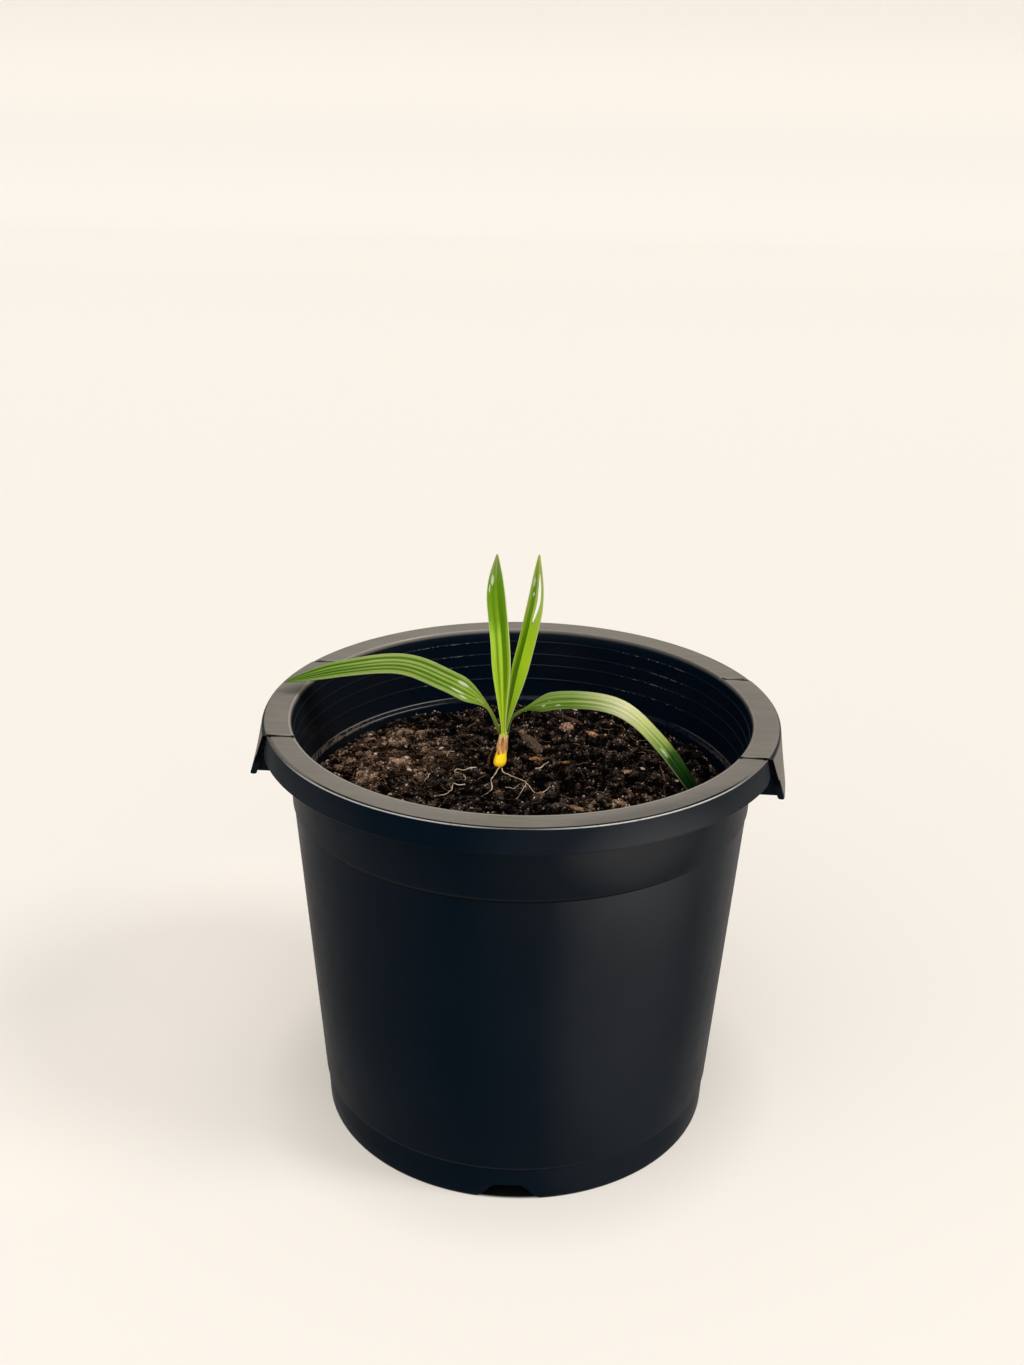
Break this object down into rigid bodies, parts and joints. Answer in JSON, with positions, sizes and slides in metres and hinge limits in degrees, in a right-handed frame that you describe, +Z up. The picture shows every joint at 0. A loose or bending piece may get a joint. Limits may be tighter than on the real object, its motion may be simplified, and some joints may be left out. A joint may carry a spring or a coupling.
{
  "type": "potted bailey palm seedling",
  "caption": "Young palm seedling with strap leaves on a yellow base, growing in a filled black nursery pot with a flanged rim and lifting flaps; stands on the pot's foot ring",
  "frame": {"origin": "middle of the pot's footprint, on the ground that the foot ring stands on", "axes": "+Z up along the pot's axis; -Y is the front, the side the picture was taken from; +X points to the right-hand lifting flap"},
  "size_m": [0.3402, 0.3344, 0.3788],
  "materials": {
    "pot_plastic": "satin black moulded polypropylene, warm grey where the light grazes it",
    "growing_mix": "moist dark brown bark and fibre mix, coarse and matt",
    "stem_base": "smooth waxy yellow, greener toward the leaves",
    "dry_sheath": "dry papery tan",
    "surface_root": "thin pale fibre",
    "leaf_blade": "satin leaf green with pale lengthwise stripes and pale margins"
  },
  "bodies": {
    "root": {"pot_body": "pot_plastic", "rim_front": "pot_plastic", "rim_back": "pot_plastic", "handle_left": "pot_plastic", "handle_right": "pot_plastic", "soil": "growing_mix", "stem": "stem_base", "sheath": "dry_sheath", "dry_scale": "dry_sheath", "root_left": "surface_root", "root_right": "surface_root", "leaf_left_rise": "leaf_blade", "leaf_left_reach": "leaf_blade", "leaf_right_rise": "leaf_blade", "leaf_right_fall": "leaf_blade", "leaf_upright_left": "leaf_blade", "leaf_upright_right": "leaf_blade"}
  },
  "joints": []
}
